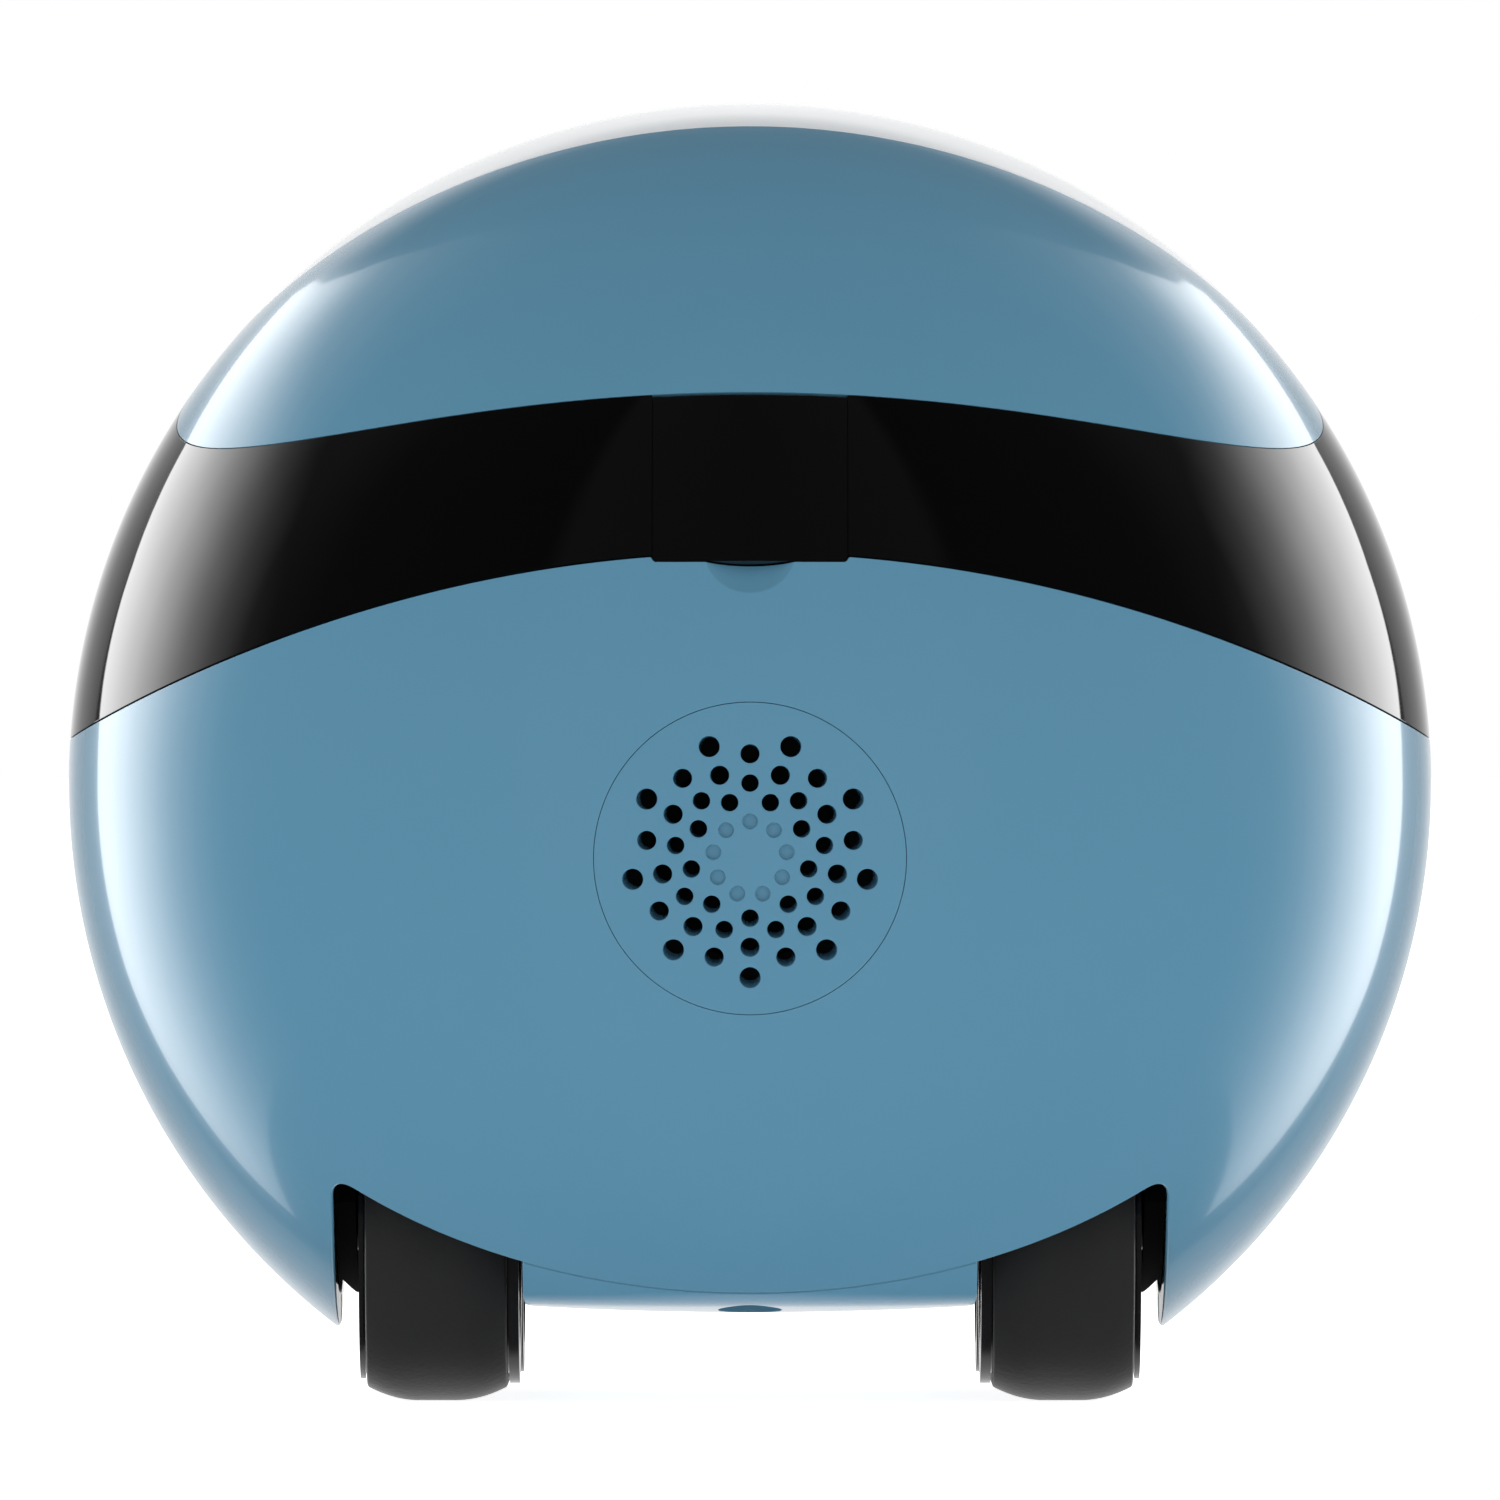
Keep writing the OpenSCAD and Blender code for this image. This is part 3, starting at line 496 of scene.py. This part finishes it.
def shell(name, body, slot_name, cuts, surface=ball, fine=(), lines=(), thick=SKIN, sink=SINK, inner=None,
          stands_for=()):
    """One shell of the ball.

    cuts holds (function, edge radius) pairs and fine holds (function, edge length) pairs; lines puts
    vertices at the named distances from a function's edge.
    """
    d, t = cut_out(cuts, fine, lines)
    rho, normals = facing(d, surface)
    drop, normals = round_off(d, normals, cuts)
    outer = CENTRE + (rho - drop - sink)[:, None] * d
    within = CENTRE + (np.minimum(rho, R) - sink - thick)[:, None] * d
    if inner is not None:
        within = inner(d, outer, within)
    walls, wall_normals = rim_walls(t, outer, within)
    turned = t[:, ::-1]
    faces = t.tolist() + (turned + len(d)).tolist() + walls.tolist()
    corner_normals = [normals[t].reshape(-1, 3), -d[turned].reshape(-1, 3), wall_normals]
    add_mesh(name, body, slot_name, np.concatenate([outer, within]), faces, np.concatenate(corner_normals),
             stands_for)


low_out, low_in = outside(LOW_AT, LOW_R + GAP), inside(LOW_AT, LOW_R - GAP)
chin_out, chin_in = outside(CHIN_AT, CHIN_R + GAP), inside(CHIN_AT, CHIN_R - GAP)
cap_out, cap_in = outside(CAP_AT, CAP_R + TIGHT_GAP), inside(CAP_AT, CAP_R - TIGHT_GAP)
brow_out, brow_in = outside(BROW_AT, BROW_R + GAP), inside(BROW_AT, BROW_R - GAP)
crown_out, crown_in = outside(CROWN_AT, CROWN_R + GAP), inside(CROWN_AT, CROWN_R - GAP)
SLOT_EDGE = 0.22


def lower_shells():
    grille_bore = rear_bore(0, GRILLE_Z, 10.69)
    rear_cuts = [(behind, EDGE), (low_out, EDGE), (slot, SLOT_EDGE), (grille_bore, TIGHT_EDGE), (notch, 0.06)]
    shell("rear_shell_skin", "robot", "blue_plastic", rear_cuts, scooped,
          fine=[(grille_bore, 0.5), (notch, 0.35), (scoop_rim, 0.3), (slot, 0.5)],
          lines=[(scoop_rim, (-0.12, -0.04, 0.04, 0.12))], inner=straight_in, stands_for=["rear_shell"])
    shell("front_shell_skin", "robot", "white_plastic", [(before, EDGE), (chin_in, EDGE), (slot, SLOT_EDGE)],
          lower_ball, fine=[(slot, 0.5)], inner=straight_in, stands_for=["front_shell"])


def rear_band_and_door():
    door_edge, port_edge = 0.02, 0.1
    shell("rear_band_skin", "robot", "black_gloss",
          [(behind, EDGE), (low_in, EDGE), (cap_out, TIGHT_EDGE), (door_gap, door_edge)],
          fine=[(door_gap, 1.0)], stands_for=["rear_band"])
    ports = [(port_hole(4.7, 0.9, 4.55), port_edge), (port_hole(6.1, -1.8, -0.05), port_edge)]
    shell("port_bridge", "robot", "black_gloss", [(bridge_outline, port_edge)] + ports,
          fine=[(bridge_outline, 0.7)], sink=2.2)
    shell("port_door_skin", "door", "black_gloss",
          [(door_outline, door_edge), (outside(CAP_AT, CAP_R + 0.2), EDGE)],
          fine=[(door_outline, 0.8)], thick=1.6, stands_for=["port_door"])


def top_shells():
    shell("top_cover_skin", "robot", "blue_plastic", [(cap_in, TIGHT_EDGE), (crown_out, EDGE)],
          stands_for=["top_cover"])
    shell("forehead_cover_skin", "robot", "white_plastic", [(crown_in, EDGE), (brow_out, EDGE)],
          stands_for=["forehead_cover"])


def face_visor():
    lens_bore = face_bore(0, 0, 6.08)
    lights = [face_bore(x, up, 1.7) for x in (-11.5, 11.5) for up in (-4, 4)]
    small_bores = union_of(lights + [face_bore(0, 15.6, 0.5), status_slot])
    shell("face_visor_skin", "robot", "black_gloss",
          [(before, EDGE), (brow_in, EDGE), (chin_out, EDGE), (lens_bore, 0.1), (small_bores, 0.06)],
          fine=[(lens_bore, 0.4), (small_bores, 0.16)], stands_for=["face_visor"])


def base_plate():
    button_hole = bottom_bore(0, 29.1, 2.3)
    screws = union_of([bottom_bore(x, y, 2) for x in (-11.6, 11.6) for y in (-22.5, 22.5)])
    shell("base_plate_skin", "robot", "blue_plastic",
          [(plate_outline, 0.06), (button_hole, 0.08), (screws, 0.08)], plate,
          fine=[(plate_outline, 0.6), (button_hole, 0.3), (screws, 0.3)], inner=plate_inner,
          stands_for=["base_plate"])


def speaker_grille():
    rim = rear_bore(0, GRILLE_Z, 10.65)
    shell("speaker_grille_skin", "robot", "blue_plastic", [(lambda p: -rim(p), TIGHT_EDGE), (HOLES, 0.07)],
          dimpled, fine=[(HOLES, 0.14), (DIMPLES, 0.12)],
          lines=[(DIMPLES, (-DIMPLE_WALL, 0, DIMPLE_WALL))], stands_for=["speaker_grille"])


lower_shells()
rear_band_and_door()
top_shells()
face_visor()
base_plate()
speaker_grille()


# ------------------------------------------------------------------------------- belts
BELT_X, BELT_HALF = 21.8, 4.9       # middle and half width of each belt
WHEEL_Y, WHEEL_Z = 12.6, 11.4       # the wheels' axes
BELT_IN_R = 9.8                     # inner radius of the belt round a wheel


def arc(cx, cy, r, start, end, count):
    """Points and outward ways on an arc, as (x, height, way x, way height)."""
    turn = [math.radians(start + (end - start) * i / (count - 1)) for i in range(count)]
    return [(cx + r * math.cos(a), cy + r * math.sin(a), math.cos(a), math.sin(a)) for a in turn]


def belt_section():
    """Outline across the belt: flat inside, soft shoulders and a crowned tread."""
    foot_r, shoulder_r, shoulder_h = 0.2, 0.3, 0.45
    tread_h, fall, flat_half, fall_width = 1.6, 0.92, 1.3, 3.5
    rows, outer_x, inner_x = 14, 4.76, 1.1
    foot_x = BELT_HALF - foot_r
    half = arc(foot_x, foot_r, foot_r, -90, 0, 5)
    half += arc(BELT_HALF - shoulder_r, shoulder_h, shoulder_r, 0, 62, 7)
    for i in range(1, rows + 1):
        x = outer_x - (outer_x - inner_x) * i / rows
        u = max(0.0, (x - flat_half) / fall_width)
        steep = 2 * fall / fall_width * u
        length = math.hypot(steep, 1)
        half.append((x, tread_h - fall * u ** 2, steep / length, 1 / length))
    return np.array(half + [(-x, h, -nx, nh) for x, h, nx, nh in reversed(half)])


def belt(name, side, stands_for):
    """The section carried once round both wheels of a side."""
    section = belt_section()
    turns = [(WHEEL_Y, a) for a in np.linspace(-90, 90, 65)]
    turns += [(-WHEEL_Y, a) for a in np.linspace(90, 270, 65)]
    m, k = len(section), len(turns)
    co, no = np.zeros((k, m, 3)), np.zeros((k, m, 3))
    for i, (y, degrees) in enumerate(turns):
        a = math.radians(degrees)
        x, out = side * (BELT_X + section[:, 0]), BELT_IN_R + section[:, 1]
        co[i] = columns(x, y + out * math.cos(a), WHEEL_Z + out * math.sin(a))
        no[i] = columns(side * section[:, 2], section[:, 3] * math.cos(a), section[:, 3] * math.sin(a))
    i, j = np.meshgrid(np.arange(k), np.arange(m), indexing="ij")
    next_i, next_j = (i + 1) % k, (j + 1) % m
    quads = np.stack([i * m + j, i * m + next_j, next_i * m + next_j, next_i * m + j], -1).reshape(-1, 4)
    if side < 0:
        quads = quads[:, ::-1]
    normals = no.reshape(-1, 3)[quads].reshape(-1, 3)
    add_mesh(name, "robot", "black_rubber", co.reshape(-1, 3), quads.tolist(), normals, stands_for)


belt("left_belt_rubber", 1, ["left_belt"])
belt("right_belt_rubber", -1, ["right_belt"])


# --------------------------------------------------------------------------- materials
def node(tree, kind, **settings):
    new = tree.nodes.new(kind)
    for key, value in settings.items():
        setattr(new, key, value)
    return new


def finish(name, colour, rough, mottle=0.02, grain=(400.0, 0.0), rough_span=0.02, metal=0.0, ior=1.5,
           extra=()):
    """A procedural material: colour and gloss wander slightly, and a fine grain can lift the surface."""
    mat = bpy.data.materials.new(name)
    mat.use_nodes = True
    tree = mat.node_tree
    tree.nodes.clear()
    out = node(tree, "ShaderNodeOutputMaterial")
    bsdf = node(tree, "ShaderNodeBsdfPrincipled")
    tree.links.new(bsdf.outputs["BSDF"], out.inputs["Surface"])
    place = node(tree, "ShaderNodeTexCoord")
    wander = node(tree, "ShaderNodeTexNoise")
    wander.inputs["Scale"].default_value = 90.0
    wander.inputs["Detail"].default_value = 3.0
    tree.links.new(place.outputs["Object"], wander.inputs["Vector"])
    mix = node(tree, "ShaderNodeMix", data_type="RGBA")
    mix.inputs["A"].default_value = (*[c * (1 - mottle) for c in colour], 1)
    mix.inputs["B"].default_value = (*[min(1, c * (1 + mottle)) for c in colour], 1)
    tree.links.new(wander.outputs["Fac"], mix.inputs["Factor"])
    tree.links.new(mix.outputs["Result"], bsdf.inputs["Base Color"])
    gloss = node(tree, "ShaderNodeMapRange")
    gloss.inputs["To Min"].default_value = max(0.0, rough - rough_span)
    gloss.inputs["To Max"].default_value = rough + rough_span
    tree.links.new(wander.outputs["Fac"], gloss.inputs["Value"])
    tree.links.new(gloss.outputs["Result"], bsdf.inputs["Roughness"])
    if grain[1]:
        fine = node(tree, "ShaderNodeTexNoise")
        fine.inputs["Scale"].default_value = grain[0]
        fine.inputs["Detail"].default_value = 2.0
        tree.links.new(place.outputs["Object"], fine.inputs["Vector"])
        bump = node(tree, "ShaderNodeBump")
        bump.inputs["Strength"].default_value = grain[1]
        bump.inputs["Distance"].default_value = 0.00005
        tree.links.new(fine.outputs["Fac"], bump.inputs["Height"])
        tree.links.new(bump.outputs["Normal"], bsdf.inputs["Normal"])
    bsdf.inputs["Metallic"].default_value = metal
    bsdf.inputs["IOR"].default_value = ior
    for key, value in extra:
        bsdf.inputs[key].default_value = value
    return mat


# One look for each material slot of the frame, and the guards' own, which is darkened as painted shade.
LOOKS = {
    "blue_plastic": finish("blue shell plastic", (0.091, 0.243, 0.360), 0.19, 0.012, ior=1.45,
                           extra=[("Coat Weight", 0.45), ("Coat Roughness", 0.02), ("Coat IOR", 1.5)]),
    "white_plastic": finish("white shell plastic", (0.77, 0.80, 0.825), 0.08, 0.01),
    "black_gloss": finish("gloss black plastic", (0.0003, 0.0003, 0.00035), 0.04, 0.1),
    "black_plastic": finish("black plastic", (0.012, 0.012, 0.013), 0.32, 0.08, (1500.0, 0.3)),
    "wheel_plastic": finish("wheel plastic", (0.008, 0.008, 0.009), 0.16, 0.08, (1200.0, 0.1)),
    "black_rubber": finish("tread rubber", (0.021, 0.021, 0.021), 0.5, 0.12, (2600.0, 0.5), 0.04,
                           extra=[("Sheen Weight", 0.4), ("Sheen Roughness", 0.3)]),
    # The guards are near-black, darker and less reflective than the black plastic: painted shade for the dark
    # wheel wells they sit in.
    "guard": finish("guard plastic with painted shade", (0.002, 0.002, 0.002), 0.8, 0.1, (1500.0, 0.2), ior=1.2),
    "foam_rubber": finish("foam rubber", (0.015, 0.015, 0.016), 0.9, 0.15, (3000.0, 0.9), 0.03),
    "plated_steel": finish("plated steel", (0.62, 0.63, 0.65), 0.24, 0.03, (900.0, 0.1), 0.05, 1.0),
    "motor_can": finish("motor can", (0.48, 0.49, 0.51), 0.3, 0.03, (700.0, 0.1), 0.05, 1.0),
    "gear_brass": finish("gear brass", (0.72, 0.52, 0.22), 0.25, 0.04, (900.0, 0.1), 0.05, 1.0),
    "circuit_board": finish("circuit board", (0.012, 0.085, 0.04), 0.3, 0.15, (900.0, 0.3)),
    "chip_black": finish("chip mould", (0.02, 0.02, 0.022), 0.55, 0.1, (2000.0, 0.4)),
    "ivory_plastic": finish("ivory plastic", (0.78, 0.74, 0.62), 0.35, 0.02, (1500.0, 0.15)),
    "dark_clear_plastic": finish("smoked clear plastic", (0.03, 0.004, 0.008), 0.05, 0.1),
    "light_diffuser": finish("light diffuser", (0.82, 0.84, 0.86), 0.45, 0.02, (1800.0, 0.2)),
    "battery_wrap": finish("battery wrap", (0.03, 0.10, 0.26), 0.28, 0.05, (600.0, 0.15)),
    "lens_glass": finish("coated lens", (0.004, 0.005, 0.012), 0.02, 0.1, ior=1.7),
}


def soften(obj):
    """Small rounded edges on a wheel."""
    soft = obj.modifiers.new("soft edge", "BEVEL")
    soft.width = 0.4 * MM
    soft.segments = 2
    soft.limit_method = "ANGLE"
    soft.angle_limit = math.radians(50)


for obj, slot_name in made:
    obj.data.materials[0] = LOOKS[slot_name]
for obj in frame["nodes"].values():
    slots = [m for m in obj.data.materials if m is not None]
    if obj.name.endswith("_wheel"):
        soften(obj)
    # The guards get the darker look that paints in the shade of the wheel wells.
    if obj.name.endswith("track_guard"):
        obj.data.materials[0] = LOOKS["guard"]
    elif slots and slots[0].name in LOOKS:
        obj.data.materials[0] = LOOKS[slots[0].name]
    else:
        print("no look for", obj.name, [m.name for m in slots])


# ------------------------------------------------------------------ floor, light, camera
# The studio, in degrees from the camera's side (azimuth) and above the horizon (height).
BOX_ACROSS = [(88, 0.0), (92, 0.015), (100, 0.05), (108, 0.19), (116, 0.42), (124, 0.74), (132, 0.95),
              (140, 1.0), (150, 0.95), (160, 0.8), (180, 0.5)]
BOX_UP = [(-31, 0), (-30.3, 0.33), (-20, 0.62), (-12, 0.8), (-4, 0.97), (12, 1.0), (20, 0.86), (28, 0.52),
          (32, 0.3), (36, 0.15), (46, 0.06), (70, 0)]
# height, and the azimuth where the box's sharp far edge stands
BOX_FAR_EDGE = [(-31, 142), (-20, 143), (-10, 145.3), (1, 145), (5, 146.6), (10.5, 148), (13, 150),
                (15.5, 152.5), (16.2, 157), (16.8, 164), (20, 162), (24, 158), (30, 154), (40, 150)]
WALL_ACROSS = [(147, 0.0), (148.5, 0.32), (159, 0.48), (166, 0.7), (170, 0.83), (180, 1.0)]
WALL_UP = [(-82, 0.1), (-70, 0.9), (-50, 1.0), (22, 1.1), (32, 0.1)]
CAMERA_SIDE = [(0, 0.08), (37, 0.10), (41, 0.045), (84, 0.055), (100, 0.10)]
BOX_GLOSS, BOX_MATT = 4.0, 3.6
MATT_ALL, MATT_REAR, MATT_TOP, MATT_SIDES = 0.81, 0.32, -0.24, 0.5


def by_azimuth(stops):
    return [(degrees / 180, level) for degrees, level in stops]


def by_height(stops):
    return [((90 + degrees) / 180, level) for degrees, level in stops]


def math_node(tree, kind, a, b=None, c=None, clamp=False):
    m = node(tree, "ShaderNodeMath", operation=kind, use_clamp=clamp)
    for i, value in enumerate((a, b, c)):
        if isinstance(value, (int, float)):
            m.inputs[i].default_value = value
        elif value is not None:
            tree.links.new(value, m.inputs[i])
    return m.outputs[0]


def ramp(tree, stops, value):
    r = node(tree, "ShaderNodeValToRGB")
    elements = r.color_ramp.elements
    while len(elements) > 1:
        elements.remove(elements[-1])
    elements[0].position = stops[0][0]
    elements[0].color = (*[stops[0][1]] * 3, 1)
    for at, level in stops[1:]:
        elements.new(at).color = (level, level, level, 1)
    tree.links.new(value, r.inputs["Fac"])
    return r.outputs["Color"]


def choose(tree, factor, a, b):
    """One of two strengths, by a light path flag."""
    mix = node(tree, "ShaderNodeMix", data_type="FLOAT")
    tree.links.new(factor, mix.inputs["Factor"])
    tree.links.new(a, mix.inputs["A"])
    if isinstance(b, float):
        mix.inputs["B"].default_value = b
    else:
        tree.links.new(b, mix.inputs["B"])
    return mix.outputs["Result"]


def studio_world():
    """Bright all round for matt surfaces; soft boxes at both sides in mirror-like ones."""
    world = bpy.data.worlds.new("studio")
    bpy.context.scene.world = world
    world.use_nodes = True
    world.cycles.sampling_method = "NONE"
    tree = world.node_tree
    tree.nodes.clear()
    place = node(tree, "ShaderNodeTexCoord")
    parts = node(tree, "ShaderNodeSeparateXYZ")
    tree.links.new(place.outputs["Generated"], parts.inputs[0])
    x, y, z = parts.outputs
    aside = math_node(tree, "ABSOLUTE", x)
    azimuth = math_node(tree, "DIVIDE", math_node(tree, "ARCTAN2", aside, y), math.pi)
    height = math_node(tree, "MULTIPLY_ADD", math_node(tree, "ARCSINE", z), 1 / math.pi, 0.5)

    far_edge = ramp(tree, [(at, v / 180) for at, v in by_height(BOX_FAR_EDGE)], height)
    before_edge = math_node(tree, "MULTIPLY", math_node(tree, "SUBTRACT", far_edge, azimuth), 300, clamp=True)
    box = math_node(tree, "MULTIPLY", ramp(tree, by_azimuth(BOX_ACROSS), azimuth), before_edge)
    box = math_node(tree, "MULTIPLY", box, ramp(tree, by_height(BOX_UP), height))
    wall = ramp(tree, by_azimuth(WALL_ACROSS), azimuth)
    wall = math_node(tree, "MULTIPLY", wall, ramp(tree, by_height(WALL_UP), height))
    glossy = math_node(tree, "MAXIMUM", math_node(tree, "MULTIPLY", box, BOX_GLOSS), wall)
    glossy = math_node(tree, "MAXIMUM", glossy, ramp(tree, by_azimuth(CAMERA_SIDE), azimuth))

    matt = math_node(tree, "MULTIPLY_ADD", y, MATT_REAR, MATT_ALL)
    matt = math_node(tree, "MULTIPLY_ADD", z, MATT_TOP, matt)
    matt = math_node(tree, "MULTIPLY_ADD", math_node(tree, "POWER", aside, 4.0), MATT_SIDES, matt)
    matt = math_node(tree, "MULTIPLY_ADD", box, BOX_MATT, matt)

    path = node(tree, "ShaderNodeLightPath")
    shiny = math_node(tree, "MAXIMUM", path.outputs["Is Glossy Ray"], path.outputs["Is Transmission Ray"])
    strength = choose(tree, path.outputs["Is Camera Ray"], choose(tree, shiny, matt, glossy), 1.0)
    sky = node(tree, "ShaderNodeBackground")
    sky.inputs["Color"].default_value = (1, 1, 1, 1)
    tree.links.new(strength, sky.inputs["Strength"])
    out = node(tree, "ShaderNodeOutputWorld")
    tree.links.new(sky.outputs[0], out.inputs["Surface"])


def pale_floor():
    """A wide plain floor with a faint glow of its own, so that it stays as pale as the background."""
    half, glow, seen_glow = 30.0, 0.47, 0.9
    mesh = bpy.data.meshes.new("floor")
    corners = [(-half, -half, 0), (half, -half, 0), (half, half, 0), (-half, half, 0)]
    mesh.from_pydata(corners, [], [(0, 1, 2, 3)])
    floor = bpy.data.objects.new("floor", mesh)
    bpy.context.scene.collection.objects.link(floor)
    look = finish("pale floor", (0.92, 0.92, 0.92), 0.9, 0.004, extra=[("Emission Color", (1, 1, 1, 1))])
    look.cycles.emission_sampling = "NONE"
    tree = look.node_tree
    shader = next(n for n in tree.nodes if n.type == "BSDF_PRINCIPLED")
    ray = node(tree, "ShaderNodeLightPath")
    lift = node(tree, "ShaderNodeMapRange")
    lift.inputs["To Min"].default_value = glow
    lift.inputs["To Max"].default_value = seen_glow
    tree.links.new(ray.outputs["Is Camera Ray"], lift.inputs["Value"])
    tree.links.new(lift.outputs["Result"], shader.inputs["Emission Strength"])
    mesh.materials.append(look)
    floor.visible_glossy = False


def rear_camera():
    """A long lens straight behind the robot, at the height of the ball's middle."""
    away, height = 1.4, 0.0454
    data = bpy.data.cameras.new("camera")
    data.lens = 476.8
    data.sensor_width = 36
    data.clip_end = 100
    camera = bpy.data.objects.new("camera", data)
    bpy.context.scene.collection.objects.link(camera)
    camera.location = (0, away, height)
    camera.rotation_euler = (math.pi / 2, 0, math.pi)
    bpy.context.scene.camera = camera


studio_world()
pale_floor()
rear_camera()
bpy.context.scene.view_settings.view_transform = "Standard"
